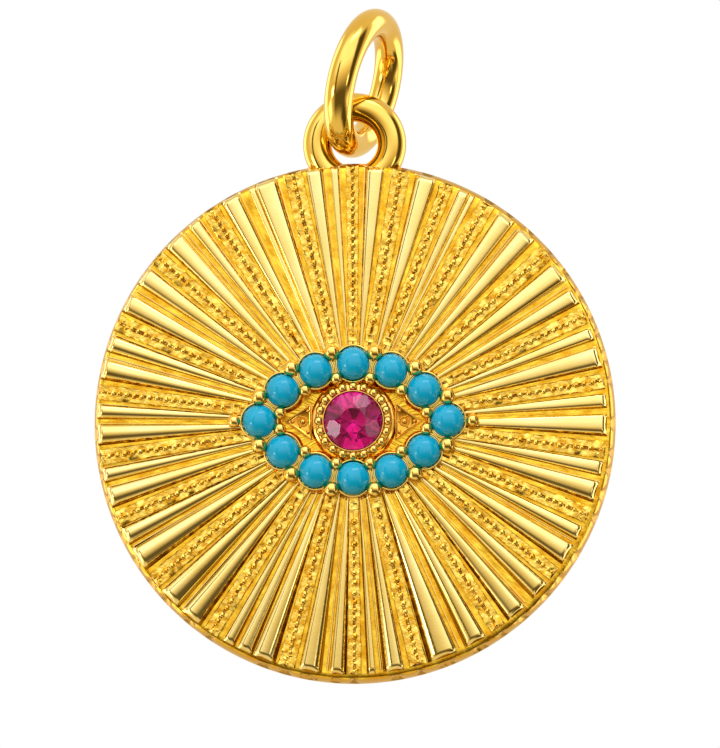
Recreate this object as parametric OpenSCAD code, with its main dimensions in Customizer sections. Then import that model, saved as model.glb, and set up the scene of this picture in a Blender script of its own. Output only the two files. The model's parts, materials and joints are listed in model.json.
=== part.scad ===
// Evil eye medallion pendant: a cast disc with a sunburst, a stone-set eye and a fixed loop, on a jump ring.
// Millimetres, +Z up, the front faces -Y. The origin is the top inside of the jump ring, where a chain runs.

/* [Disc] */
// Diameter of the disc over its bulging edge
disc_d = 18; // [14:0.5:26]
// Thickness of the disc, from its plain back to the groove floors
plate_t = 1.1; // [1.06:0.02:2]
// How far the edge bulges out beyond its front and back corners
edge_bulge = 0.19; // [0.05:0.01:0.3]

/* [Sunburst] */
// Height of a full rib above the groove floors, at the rim
rib_h = 0.3; // [0.15:0.01:0.4]
// Height of the flat strips that carry the rows of seed beads
strip_h = 0.15; // [0.08:0.01:0.25]
// Gap between the rib ends and the front corner of the edge
rib_inset = 0.03; // [0.02:0.01:0.2]
// How far a rib's end face leans inwards over the height of the rib
rib_end_lean = 0.12; // [0:0.01:0.3]
// How far each ray's source is moved from the centre towards the ray's own side
fan_shift = 0.35; // [0:0.05:0.6]

/* [Stones] */
// Diameter of each turquoise cabochon
turquoise_d = 1.14; // [0.9:0.02:1.5]
// Height of a cabochon's dome above its girdle
dome_h = 0.42; // [0.25:0.01:0.55]
// Height of a cabochon's straight base below its girdle
cabochon_base_h = 0.32; // [0.2:0.01:0.4]
// Diameter of the ruby at its girdle
ruby_d = 1.98; // [1.6:0.02:2.6]
// Width of the ruby's table
ruby_table_d = 0.9; // [0.7:0.02:1.2]
// Height of the ruby's crown above its girdle
crown_h = 0.3; // [0.2:0.01:0.4]
// Thickness of the ruby's girdle
girdle_t = 0.05; // [0.03:0.01:0.1]
// Depth of the ruby's pavilion below its girdle
pavilion_h = 0.84; // [0.6:0.01:0.95]
// Gap between a stone and the metal round it
stone_gap = 0.025; // [0.02:0.005:0.05]

/* [Eye setting] */
// Height of the eye's floor above the groove floors
eye_floor_h = 0.12; // [0.08:0.01:0.3]
// Height of the band of metal that joins the collets
band_h = 0.3; // [0.2:0.01:0.4]
// Half the width of that band
band_half_w = 0.32; // [0.2:0.01:0.4]
// Height of the collets round the cabochons
collet_h = 0.42; // [0.35:0.01:0.6]
// Wall of each collet
collet_wall = 0.055; // [0.04:0.005:0.12]
// Gap between neighbouring collets along the eyelid
collet_gap = 0.03; // [0.02:0.005:0.2]
// Gap between the ruby's collar and the collets above and below it
lid_gap = 0.035; // [0.02:0.005:0.3]
// Wall of the collar round the ruby
collar_wall = 0.275; // [0.2:0.005:0.4]
// Height of the ruby's collar
collar_h = 0.42; // [0.3:0.01:0.6]
// Width of the low step round the foot of the collar
collar_step_w = 0.13; // [0.05:0.01:0.2]
// Height of that step
collar_step_h = 0.22; // [0.15:0.01:0.3]

/* [Beads of metal] */
// Diameter of the milgrain beads on the collar
milgrain_d = 0.27; // [0.2:0.01:0.3]
// Number of milgrain beads
milgrain_count = 20; // [12:1:22]
// How far the milgrain beads stand inside the collar's outer edge
milgrain_in = 0.1; // [0.05:0.01:0.15]
// Diameter of the prongs outside the row of cabochons
outer_prong_d = 0.42; // [0.25:0.01:0.44]
// Diameter of the prongs inside the row of cabochons
inner_prong_d = 0.32; // [0.2:0.01:0.34]
// Diameter of the prong at each tip of the eye
tip_prong_d = 0.33; // [0.2:0.01:0.4]
// Diameter of the small bead in the hollow at each end of the ruby
corner_bead_d = 0.24; // [0.15:0.01:0.3]
// Height at which a prong's post ends and its round head begins
prong_h = 0.37; // [0.3:0.01:0.5]
// How far the outer prongs stand from the row's centre line
outer_prong_off = 0.45; // [0.4:0.01:0.6]
// How far the inner prongs stand from the row's centre line
inner_prong_off = 0.46; // [0.4:0.01:0.6]

/* [Loop and jump ring] */
// Diameter of the fixed loop's wire
loop_wire_d = 1; // [0.8:0.05:1.05]
// Gap all round the jump ring's wire if it stood in the middle of the loop's hole
loop_gap = 0.29; // [0.2:0.01:0.6]
// Gap between that wire and the disc's edge
edge_gap = 0.18; // [0.1:0.01:0.4]
// Diameter of the jump ring's wire
ring_wire_d = 1; // [0.7:0.05:1.2]
// Outer diameter of the jump ring
ring_d = 5.26; // [4.6:0.1:8]
// Lean of the jump ring to the right, in degrees
ring_lean = 14.5; // [0:0.5:20]
// Turn of the jump ring that brings its front leg to the left, in degrees
ring_turn = 17; // [0:1:25]

/* [Hidden] */
$fn = 64;

gold = "gold";
ruby_red = [0.76, 0.08, 0.34];
turquoise_blue = [0.12, 0.64, 0.81];

// The sunburst, clockwise from the top. All values are degrees at the rim. Each row is one group of rays:
// a beaded strip, then up to three ribs. A rib of no width isn't there.
//   strip       rib 1       rib 2       rib 3
//   at, wide    at, wide    at, wide    at, wide
RAY_GROUPS = [
    [359.7, 3.0,   4.6, 4.0,    0, 0,       0, 0],
    [10.7, 4.0,   16.3, 4.4,    0, 0,       0, 0],
    [21.6, 3.0,   25.5, 2.3,    27.7, 1.2,  0, 0],
    [31.6, 3.8,   36.8, 3.9,    42.8, 3.5,  0, 0],
    [48.8, 3.9,   54.0, 4.3,    60.5, 3.3,  0, 0],
    [65.6, 3.6,   69.9, 2.7,    75.3, 4.5,  0, 0],
    [81.0, 3.5,   85.4, 2.9,    90.9, 4.5,  0, 0],
    [96.8, 3.8,   100.9, 3.0,   106.3, 4.4, 0, 0],
    [112.1, 3.6,  116.5, 3.0,   121.9, 4.4, 0, 0],
    [127.5, 3.5,  132.3, 4.1,   139.7, 4.4, 0, 0],
    [145.2, 3.6,  151.0, 4.6,   159.1, 6.0, 0, 0],
    [165.1, 4.1,  170.7, 4.1,   175.9, 1.8, 0, 0],
    [179.8, 3.2,  183.6, 2.8,   190.0, 4.2, 0, 0],
    [195.4, 3.9,  200.8, 4.0,   205.6, 2.7, 209.5, 2.4],
    [214.1, 3.7,  219.8, 4.6,   226.2, 4.2, 0, 0],
    [231.5, 3.8,  237.6, 5.0,   243.5, 3.4, 0, 0],
    [247.7, 3.7,  253.0, 4.3,   258.1, 3.0, 0, 0],
    [262.1, 3.6,  267.4, 4.4,   272.6, 3.1, 0, 0],
    [276.9, 3.5,  282.3, 4.0,   288.2, 3.4, 0, 0],
    [292.9, 3.9,  298.0, 3.7,   305.0, 4.0, 0, 0],
    [310.0, 3.8,  315.4, 4.0,   321.3, 2.7, 0, 0],
    [326.0, 4.1,  331.3, 4.0,   336.5, 1.5, 340.0, 4.7],
    [346.2, 4.3,  351.3, 3.6,   355.8, 1.8, 0, 0],
];
strip_columns = [0];
rib_columns = [2, 4, 6];

// A rib this wide, in degrees, has the full rib height; a narrower one is lower in step.
full_rib_deg = 4;

// Height of a prong's round head, as a share of its radius: a little under a half ball.
prong_head = 0.95;
// How deep one cast form is sunk into the form that carries it.
sink = 0.03;
// Radius of the flat at the bottom of the ruby's seat, clear of the stone's point.
seat_flat_r = 0.12;
// A length that reaches past any of the medallion's surfaces.
past = 3;
// Where the jump ring's wire lies in the loop's hole, as shares of the gap round it: to the left, and up.
hang_left = 0.62;
hang_up = 0.17;

disc_r = disc_d / 2;
corner_r = disc_r - edge_bulge;
edge_r = (pow(plate_t / 2, 2) + pow(edge_bulge, 2)) / (2 * edge_bulge);
ray_end_r = corner_r - rib_inset;

turquoise_r = turquoise_d / 2;
pocket_r = turquoise_r + stone_gap;
collet_r = pocket_r + collet_wall;
stone_pitch = 2 * collet_r + collet_gap;
girdle_h = collet_h - sink;

ruby_r = ruby_d / 2;
ruby_pocket_r = ruby_r + stone_gap;
collar_r = ruby_pocket_r + collar_wall;
milgrain_r = collar_r - milgrain_in;

// The eyelids: two equal arcs. Each clears the ruby's collar at its middle, and holds seven cabochons a pitch
// apart, of which the first and last are the corners of the eye and belong to both arcs.
lid_h = collar_r + lid_gap + collet_r;
half_lid = 3 * stone_pitch;
lid_deg = lid_span(1, 130, 24);
lid_r = half_lid / (lid_deg * PI / 180);
lid_drop = lid_r - lid_h;
lid_step = lid_deg / 3;
// The rays start this far from their sources, hidden under the eye.
ray_start = lid_h;
eye_half_l = lid_r * sin(lid_deg);

loop_wire_r = loop_wire_d / 2;
ring_wire_r = ring_wire_d / 2;
loop_r = ring_wire_r + loop_gap + loop_wire_r;
loop_rise = ring_wire_r + edge_gap;
ring_r = ring_d / 2 - ring_wire_r;
ring_up = [sin(ring_lean) * cos(ring_turn), -sin(ring_lean) * sin(ring_turn), cos(ring_lean)];
ring_centre = -(ring_r - ring_wire_r) * ring_up;
loop_centre = ring_centre - ring_r * ring_up + loop_gap * [hang_left, 0, -hang_up];

// Half the angle of an eyelid arc with the given half length and height, found by halving the interval.
function lid_span(low, high, steps) =
    let (middle = (low + high) / 2, height = half_lid * (1 - cos(middle)) / (middle * PI / 180))
    steps == 0 ? middle
    : height < lid_h ? lid_span(middle, high, steps - 1)
    : lid_span(low, middle, steps - 1);

// A point off an eyelid arc: its angle from the middle, its distance outwards, and its side.
// The side is 1 for the upper lid and -1 for the lower one.
function lid_point(deg, off, side) =
    [(lid_r + off) * sin(deg), side * ((lid_r + off) * cos(deg) - lid_drop)];

// The place of cabochon i: 0 to 6 along the upper lid from the left corner, 7 to 11 back along the lower lid.
function cabochon_at(i) = i < 7 ? lid_point((i - 3) * lid_step, 0, 1) : lid_point((9 - i) * lid_step, 0, -1);

// Stands a form that was modelled lying on its back up in its place: its front to -Y, its top to +Z.
module hung() {
    translate(loop_centre + [0, plate_t / 2, -disc_r - loop_rise]) rotate([90, 0, 0]) children();
}

module ring_of_wire(centreline_r, wire_r) {
    rotate_extrude() translate([centreline_r, 0]) circle(wire_r);
}

module plate() {
    rotate_extrude() {
        intersection() {
            translate([disc_r - edge_r, plate_t / 2]) circle(edge_r);
            square([disc_r, plate_t]);
        }
        square([corner_r - rib_inset, plate_t]);
    }
}

// The way from a ray's source to its end at the rim, by the ray's angle at the rim.
function ray_run(at) = [(ray_end_r - fan_shift) * sin(at), ray_end_r * cos(at)];

// Places a ray that was modelled along +Y from its source.
module aimed(at) {
    translate([fan_shift * sin(at), 0]) rotate(-atan2(ray_run(at).x, ray_run(at).y)) children();
}

// A rib is half a long cone with its point at the ray's source, lying in the groove floor.
module rib(at, wide) {
    length = norm(ray_run(at));
    half_w = ray_end_r * sin(wide / 2);
    height = rib_h * min(1, wide / full_rib_deg);
    round_r = (height * height + half_w * half_w) / (2 * height);
    dip = atan((round_r - height) / length);
    aimed(at) rotate([-90 - dip, 0, 0]) translate([0, 0, ray_start])
        cylinder(h = length, r1 = round_r * ray_start / length, r2 = round_r * (1 + ray_start / length));
}

module strip(at, wide) {
    length = norm(ray_run(at));
    half_w = ray_end_r * sin(wide / 2);
    inner = ray_start / length;
    outer = 1 + sink;
    aimed(at) translate([0, 0, -sink]) linear_extrude(strip_h + sink)
        polygon([[-half_w * inner, length * inner], [half_w * inner, length * inner],
                 [half_w * outer, length * outer], [-half_w * outer, length * outer]]);
}

// The space that the rays may fill: from just under the groove floors up, with a leaning outer face.
module ray_space() {
    lean = rib_end_lean / rib_h;
    rotate_extrude() polygon([[0, -sink], [ray_end_r + lean * sink, -sink], [ray_end_r - lean * past, past],
                              [0, past]]);
}

module rays() {
    intersection() {
        union() {
            for (group = RAY_GROUPS, c = rib_columns) if (group[c + 1] > 0) rib(group[c], group[c + 1]);
            for (group = RAY_GROUPS, c = strip_columns) strip(group[c], group[c + 1]);
        }
        ray_space();
    }
}

// The almond between the two eyelid arcs, grown or shrunk by an offset.
module almond(off) {
    intersection() {
        translate([0, -lid_drop]) circle(lid_r + off);
        translate([0, lid_drop]) circle(lid_r + off);
    }
}

// A round post with a domed head, which starts at height 0.
module domed(r, post_h, head_h) {
    head_r = (r * r + head_h * head_h) / (2 * head_h);
    rotate_extrude() {
        translate([0, -post_h]) square([r, post_h]);
        intersection() {
            translate([0, head_h - head_r]) circle(head_r);
            translate([0, -post_h]) square([r, post_h + head_h]);
        }
    }
}

// A cast prong, which rises from the groove floor.
module prong(d) {
    translate([0, 0, prong_h]) domed(d / 2, prong_h + sink, prong_head * d / 2);
}

module collets() {
    for (i = [0:11]) translate(cabochon_at(i)) translate([0, 0, -sink])
        cylinder(h = collet_h + sink, r = collet_r);
}

module prongs() {
    for (side = [-1, 1], i = [-2.5:1:2.5]) {
        translate(lid_point(i * lid_step, outer_prong_off, side)) prong(outer_prong_d);
        translate(lid_point(i * lid_step, -inner_prong_off, side)) prong(inner_prong_d);
    }
    for (side = [-1, 1]) {
        translate([side * (eye_half_l + collet_r - sink + tip_prong_d / 2), 0]) prong(tip_prong_d);
        translate([side * (collar_r + 2 * corner_bead_d), 0, eye_floor_h]) sphere(corner_bead_d / 2);
    }
}

module collar() {
    translate([0, 0, -sink]) cylinder(h = collar_h + sink, r = collar_r);
    translate([0, 0, -sink]) cylinder(h = collar_step_h + sink, r = collar_r + collar_step_w);
    for (i = [0:milgrain_count - 1]) rotate(360 * (i + 0.5) / milgrain_count)
        translate([milgrain_r, 0, collar_h]) sphere(milgrain_d / 2);
}

module eye_setting() {
    translate([0, 0, -sink]) linear_extrude(eye_floor_h + sink) almond(band_half_w);
    translate([0, 0, -sink]) linear_extrude(band_h + sink) difference() {
        almond(band_half_w);
        almond(-band_half_w);
    }
    collets();
    collar();
    prongs();
}

// The room for the stones: straight-walled pockets, and a conical seat under the ruby.
module pockets() {
    floor_h = girdle_h - cabochon_base_h - stone_gap;
    for (i = [0:11]) translate(cabochon_at(i)) translate([0, 0, floor_h]) cylinder(h = past, r = pocket_r);
    seat_top = girdle_h - girdle_t - stone_gap;
    seat_foot = seat_top - pavilion_h;
    rotate_extrude() polygon([[0, seat_foot], [seat_flat_r, seat_foot], [ruby_pocket_r, seat_top],
                              [ruby_pocket_r, past], [0, past]]);
}

module medallion() {
    color(gold) hung() difference() {
        union() {
            plate();
            translate([0, disc_r + loop_rise, plate_t / 2]) ring_of_wire(loop_r, loop_wire_r);
            translate([0, 0, plate_t]) rays();
            translate([0, 0, plate_t]) eye_setting();
        }
        translate([0, 0, plate_t]) pockets();
    }
}

// A round brilliant: 8-sided table, 8 stars, 8 kites and 16 upper facets over 16 lower facets and 8 mains.
module brilliant() {
    table_r = ruby_table_d / 2 / cos(22.5);
    star_r = (table_r + ruby_r) * 0.54;
    lower_r = ruby_r * 0.42;
    star_h = crown_h * (1 - (star_r * cos(22.5) - table_r) / (ruby_r - table_r));
    lower_h = -girdle_t - pavilion_h * (1 - lower_r * cos(22.5) / ruby_r);
    eighth = [for (k = [0:7]) 45 * k];
    points = concat(
        [for (a = eighth) [table_r * cos(a), table_r * sin(a), crown_h]],
        [for (a = eighth) [star_r * cos(a + 22.5), star_r * sin(a + 22.5), star_h]],
        [for (a = eighth, turn = [0, 22.5]) [ruby_r * cos(a + turn), ruby_r * sin(a + turn), 0]],
        [for (a = eighth, turn = [0, 22.5]) [ruby_r * cos(a + turn), ruby_r * sin(a + turn), -girdle_t]],
        [for (a = eighth) [lower_r * cos(a + 22.5), lower_r * sin(a + 22.5), lower_h]],
        [[0, 0, -girdle_t - pavilion_h]]);
    star = 8;
    top = 16;
    bottom = 32;
    lower = 48;
    culet = 56;
    faces = concat(
        [[for (k = [7:-1:0]) k]],
        [for (k = [0:7]) let (n = (k + 1) % 8) each [
            [k, n, star + k],
            [n, top + 2 * n, star + k], [k, star + k, top + 2 * k],
            [star + k, top + 2 * k + 1, top + 2 * k], [star + k, top + 2 * n, top + 2 * k + 1],
            [lower + k, bottom + 2 * k, bottom + 2 * k + 1], [lower + k, bottom + 2 * k + 1, bottom + 2 * n],
            [culet, bottom + 2 * k, lower + k], [culet, lower + k, bottom + 2 * n]]],
        [for (j = [0:15]) let (n = (j + 1) % 16) [top + j, top + n, bottom + n, bottom + j]]);
    polyhedron(points, faces);
}

module ruby() {
    color(ruby_red) hung() translate([0, 0, plate_t + girdle_h]) brilliant();
}

module turquoise(number) {
    color(turquoise_blue) hung() translate(cabochon_at(number - 1)) translate([0, 0, plate_t + girdle_h])
        domed(turquoise_r, cabochon_base_h, dome_h);
}

module jump_ring() {
    color(gold) translate(ring_centre) rotate([0, 0, -ring_turn]) rotate([0, 90 + ring_lean, 0])
        ring_of_wire(ring_r, ring_wire_r);
}

medallion();
ruby();
turquoise(1);  // turquoise_01
turquoise(2);  // turquoise_02
turquoise(3);  // turquoise_03
turquoise(4);  // turquoise_04
turquoise(5);  // turquoise_05
turquoise(6);  // turquoise_06
turquoise(7);  // turquoise_07
turquoise(8);  // turquoise_08
turquoise(9);  // turquoise_09
turquoise(10);  // turquoise_10
turquoise(11);  // turquoise_11
turquoise(12);  // turquoise_12
jump_ring();
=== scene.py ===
# Evil eye medallion pendant: a cast sunburst disc with a stone-set eye and a fixed loop, on a jump ring.
# Pieces are modelled in millimetres, the disc lying on its back, and then hung up in their place in metres.
import json
import math
import random

import bpy
from mathutils import Matrix, Vector


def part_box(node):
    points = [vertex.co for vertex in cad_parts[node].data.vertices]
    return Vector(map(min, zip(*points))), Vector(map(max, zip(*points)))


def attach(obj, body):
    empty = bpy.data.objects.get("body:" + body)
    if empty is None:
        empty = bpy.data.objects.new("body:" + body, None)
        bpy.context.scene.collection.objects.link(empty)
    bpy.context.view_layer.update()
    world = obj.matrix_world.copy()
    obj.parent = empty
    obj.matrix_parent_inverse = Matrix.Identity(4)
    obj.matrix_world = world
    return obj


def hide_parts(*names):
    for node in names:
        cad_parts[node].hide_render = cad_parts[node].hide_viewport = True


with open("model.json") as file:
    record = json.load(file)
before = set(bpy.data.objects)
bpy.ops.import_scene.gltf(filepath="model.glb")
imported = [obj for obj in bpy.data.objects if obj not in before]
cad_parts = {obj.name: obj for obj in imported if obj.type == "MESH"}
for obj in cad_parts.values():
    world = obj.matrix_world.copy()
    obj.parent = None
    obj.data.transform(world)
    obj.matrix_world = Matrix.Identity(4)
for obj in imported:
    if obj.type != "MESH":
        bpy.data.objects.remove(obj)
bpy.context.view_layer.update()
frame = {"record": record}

mm = 0.001
tiny = 0.0004          # vertices closer than this, in mm, are one
sunk = 0.04            # how deep one cast form stands in the form below it
rng = random.Random(7)

# The disc's own place: its centre on the plain back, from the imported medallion.
medallionLow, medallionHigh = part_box("medallion")
discRadius = (medallionHigh.x - medallionLow.x) / 2 / mm
discFoot = Vector(((medallionLow.x + medallionHigh.x) / 2, medallionHigh.y, medallionLow.z + discRadius * mm))
hang = Matrix.Translation(discFoot) @ Matrix.Rotation(math.radians(90), 4, "X") @ Matrix.Scale(mm, 4)
layDown = hang.inverted()

discSizes = {
    "thick": 1.1, "bulge": 0.19, "bulgeSteps": 10, "cornerRound": 0.03, "turns": 360,
    "backRings": (0, 0.25, 0.5, 0.75, 0.93), "floorRings": 54, "floorFrom": 2.0, "floorMargin": 0.05,
    "waveMm": 0.45, "waveDepthMm": 0.03,
    # the hollow under the ruby
    "seatRadius": 1.06, "seatLip": 0.1, "seatFlat": 0.12, "seatBottom": 0.55,
    # the dents of the edge under the rays
    "dentDeep": 0.13, "dentFrom": 0.74, "dentTo": 1.0, "dentInDeg": 1.2,
}
floorUp = Matrix.Translation((0, 0, discSizes["thick"]))          # from the back to the groove floors


def lyingBox(node):
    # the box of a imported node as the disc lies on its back, in mm
    low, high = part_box(node)
    a, b = layDown @ low, layDown @ high
    return Vector(map(min, a, b)), Vector(map(max, a, b))


# Modelling helpers

def startClean():
    # operators act on all that is selected, so every piece begins with nothing selected
    if bpy.context.object and bpy.context.object.mode == "EDIT":
        bpy.ops.object.mode_set(mode="OBJECT")
    bpy.ops.object.select_all(action="DESELECT")


def choose(piece):
    startClean()
    piece.select_set(True)
    bpy.context.view_layer.objects.active = piece


def named(name):
    # the new object's place goes into its mesh
    piece = bpy.context.object
    bpy.ops.object.transform_apply(location=True, rotation=True, scale=True)
    piece.name = name
    piece.data.name = name
    return piece


def startPoint(name, place):
    # a plane merged to one vertex, from which an outline is drawn by extruding
    startClean()
    bpy.ops.mesh.primitive_plane_add(size=0.1, location=(0, 0, 0))
    piece = named(name)
    bpy.ops.object.mode_set(mode="EDIT")
    bpy.ops.mesh.select_mode(type="VERT")
    bpy.ops.mesh.merge(type="CENTER")
    bpy.ops.transform.translate(value=place)
    return piece


def drawChain(name, points):
    piece = startPoint(name, points[0])
    for start, end in zip(points, points[1:]):
        step = Vector(end) - Vector(start)
        bpy.ops.mesh.extrude_vertices_move(TRANSFORM_OT_translate={"value": step})
    return piece


def spunChain(name, profile, steps):
    # the profile (radius, height) is spun once round the upright axis
    piece = drawChain(name, [(r, 0, h) for r, h in profile])
    bpy.ops.mesh.select_all(action="SELECT")
    bpy.ops.mesh.spin(steps=steps, angle=2 * math.pi, center=(0, 0, 0), axis=(0, 0, 1))
    closeUp()
    return piece


def closeUp():
    # seams and poles are merged, and the faces turned outwards
    bpy.ops.mesh.select_all(action="SELECT")
    bpy.ops.mesh.remove_doubles(threshold=tiny)
    bpy.ops.mesh.normals_make_consistent(inside=False)
    bpy.ops.object.mode_set(mode="OBJECT")


def pickEdges(piece, test):
    # edges are selected by the places of their two ends
    bpy.ops.object.mode_set(mode="EDIT")
    bpy.ops.mesh.select_all(action="DESELECT")
    bpy.ops.mesh.select_mode(type="EDGE")
    bpy.ops.object.mode_set(mode="OBJECT")
    verts = piece.data.vertices
    for edge in piece.data.edges:
        edge.select = test(verts[edge.vertices[0]].co, verts[edge.vertices[1]].co)
    bpy.ops.object.mode_set(mode="EDIT")


def pickVerts(piece, test):
    choose(piece)
    bpy.ops.object.mode_set(mode="EDIT")
    bpy.ops.mesh.select_all(action="DESELECT")
    bpy.ops.mesh.select_mode(type="VERT")
    bpy.ops.object.mode_set(mode="OBJECT")
    for vert in piece.data.vertices:
        vert.select = test(vert.co)
    bpy.ops.object.mode_set(mode="EDIT")


def editAll(piece):
    choose(piece)
    bpy.ops.object.mode_set(mode="EDIT")
    bpy.ops.mesh.select_all(action="SELECT")


def cutAway(piece, at, keep):
    # all behind the plane is cut away and the cut closed; the piece stays in edit mode
    editAll(piece)
    bpy.ops.mesh.bisect(plane_co=at, plane_no=keep, use_fill=True, clear_inner=True, threshold=tiny)


def copyOf(piece, place):
    twin = piece.copy()
    twin.data = piece.data.copy()
    twin.data.transform(place)
    bpy.context.collection.objects.link(twin)
    return twin


def joined(name, parts):
    startClean()
    for part in parts:
        part.select_set(True)
    bpy.context.view_layer.objects.active = parts[0]
    bpy.ops.object.join()
    return named(name)


def discard(*pieces):
    for piece in pieces:
        bpy.data.objects.remove(piece)


def settle(piece, place, body, finish, nodes, smoothDeg=40):
    # from its modelling place in mm to its real place in metres, with its finish and the body it moves with
    piece.data.transform(place)
    piece.data.materials.clear()
    piece.data.materials.append(finish)
    choose(piece)
    bpy.ops.object.shade_smooth_by_angle(angle=math.radians(smoothDeg))
    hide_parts(*nodes)
    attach(piece, body)


def settleGold(piece, finish, smoothDeg=40):
    # a piece of the casting whose heights are counted from the groove floors
    settle(piece, hang @ floorUp, "pendant", finish, ["medallion"], smoothDeg)


def arcPoints(centre, radius, startDeg, endDeg, steps):
    turns = [math.radians(startDeg + (endDeg - startDeg) * i / steps) for i in range(steps + 1)]
    return [(centre[0] + radius * math.cos(t), centre[1] + radius * math.sin(t)) for t in turns]


def mirrored(right):
    # the left half of an outline before its right half
    return [(-x, z) for x, z in reversed(right)] + right


# Finishes

def hexColour(code):
    # sRGB hex to the linear values that a shader takes
    parts = [int(code[i:i + 2], 16) / 255 for i in (1, 3, 5)]
    return [p / 12.92 if p <= 0.04045 else ((p + 0.055) / 1.055) ** 2.4 for p in parts] + [1]


def addNode(tree, kind, settings=None, links=None):
    # one node with its settings and what feeds it; a node among the links stands for its first output
    node = tree.nodes.new("ShaderNode" + kind)
    for key, value in (settings or {}).items():
        if isinstance(key, str) and hasattr(node, key):
            setattr(node, key, value)
        else:
            node.inputs[key].default_value = value
    for key, feed in (links or {}).items():
        tree.links.new(getattr(feed, "outputs", [feed])[0], node.inputs[key])
    return node


def atHeight(up):
    # the world Y of a height in mm above the groove floors
    return discFoot.y - (discSizes["thick"] + up) * mm


def perMetre(sizeMm):
    # a pattern's scale from the real size of its grains
    return 1 / (sizeMm * mm)


def newFinish(name):
    finish = bpy.data.materials.new(name)
    finish.use_nodes = True
    finish.node_tree.nodes.clear()
    return finish, finish.node_tree


goldPlate = {
    "deep": "#EECC64", "pale": "#F8E190", "roughness": (0.07, 0.15), "coat": 1.0,
    "cloudMm": 1.6, "cloudSoft": 0.3, "grainMm": 0.09, "grainDepthMm": 0.0016, "waveMm": 0.7, "waveDepthMm": 0.004,
}
wireGold = {
    "deep": "#E9B848", "pale": "#F4D062", "roughness": (0.04, 0.09), "coat": 0.35,
    "cloudMm": 2.2, "cloudSoft": 0.3, "grainMm": 0.09, "grainDepthMm": 0.001, "waveMm": 0.9, "waveDepthMm": 0.003,
}
# the disc's rougher cast gold: its deeper orange on the groove floors is painted shade of the grooves; its low colour,
# a plainer gold, covers the edge and back below the floors
recessGold = {
    "deep": "#E6A41A", "pale": "#FFD644", "roughness": (0.16, 0.26), "coat": 0.06, "streak": 3,
    "cloudMm": 0.22, "cloudSoft": 0.16, "grainMm": 0.11, "grainDepthMm": 0.005, "waveMm": 0.2, "waveDepthMm": 0.03,
    "streakAt": 0.6, "low": "#D8A94A", "lowFrom": -0.12, "lowTo": -0.03, "uneven": 0,
}
# the beaded strips: their low colour is painted shade in the bead channels and down the strips' sides
beadedGold = {
    "deep": "#E4A61A", "pale": "#FFE26C", "roughness": (0.05, 0.12), "coat": 0.3,
    "cloudMm": 0.2, "cloudSoft": 0.14, "grainMm": 0.07, "grainDepthMm": 0.006, "waveMm": 0.16, "waveDepthMm": 0.019,
    "low": "#7E540C", "lowFrom": 0.08, "lowTo": 0.13, "uneven": 1,
}
# the eye's setting: its low colour is painted shade, a deeper orange towards the foot of every part and in the hollows
settingGold = {
    "deep": "#F0C250", "pale": "#F9D874", "roughness": (0.05, 0.1), "coat": 0.5,
    "cloudMm": 0.8, "cloudSoft": 0.3, "grainMm": 0.09, "grainDepthMm": 0.0016, "waveMm": 0.4, "waveDepthMm": 0.004,
    "low": "#DE9A10", "lowFrom": 0.1, "lowTo": 0.28, "uneven": 0,
}
# what all the gold shares: the lacquer, and between which noise values it goes from bright to dull and from
# keeping its painted shade to losing it
lacquer = {"roughness": 0.06, "dullFrom": 0.3, "dullTo": 0.7, "shadeLiftFrom": 0.44, "shadeLiftTo": 0.6}


def alongRays(tree, place, look):
    # turns a place into its distances round the eye and out from it, the second drawn out by the streak;
    # the first is true at one share of the disc's radius
    fromEye = addNode(tree, "VectorMath", {"operation": "SUBTRACT", 1: hang.translation}, {0: place})
    axes = addNode(tree, "SeparateXYZ", links={0: fromEye})
    turn = addNode(tree, "Math", {"operation": "ARCTAN2"}, {0: axes.outputs[2], 1: axes})
    around = addNode(tree, "Math", {"operation": "MULTIPLY", 1: look["streakAt"] * discRadius * mm}, {0: turn})
    out = addNode(tree, "VectorMath", {"operation": "LENGTH"}, {0: fromEye})
    drawn = addNode(tree, "Math", {"operation": "DIVIDE", 1: look["streak"]}, {0: out.outputs["Value"]})
    spot = addNode(tree, "CombineXYZ", links={0: around, 1: drawn})
    return spot


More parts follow.
